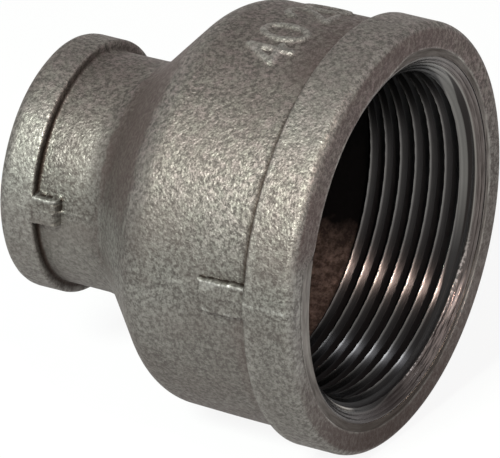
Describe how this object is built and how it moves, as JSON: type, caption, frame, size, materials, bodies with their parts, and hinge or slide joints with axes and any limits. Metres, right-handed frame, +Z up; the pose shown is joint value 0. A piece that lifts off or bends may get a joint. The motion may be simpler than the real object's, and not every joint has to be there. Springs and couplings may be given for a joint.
{
  "type": "reducing coupling",
  "caption": "Banded malleable iron pipe coupling that joins a large threaded pipe to a smaller one, with a tapped socket at each end and a sloped shoulder between.",
  "frame": {"origin": "on the flow axis, halfway between the two end faces", "axes": "+X along the flow axis, out of the large mouth; the mould's parting plane is XY, so the casting lugs are at +Y and -Y; +Z up as the coupling lies on a bench"},
  "size_m": [0.0524, 0.0598, 0.0598],
  "materials": {
    "cast_iron": "shot-blasted and oiled",
    "tapped_iron": "tapped and oiled"
  },
  "bodies": {
    "root": {"casting": "cast_iron", "large_thread": "tapped_iron", "small_thread": "tapped_iron"}
  },
  "joints": []
}
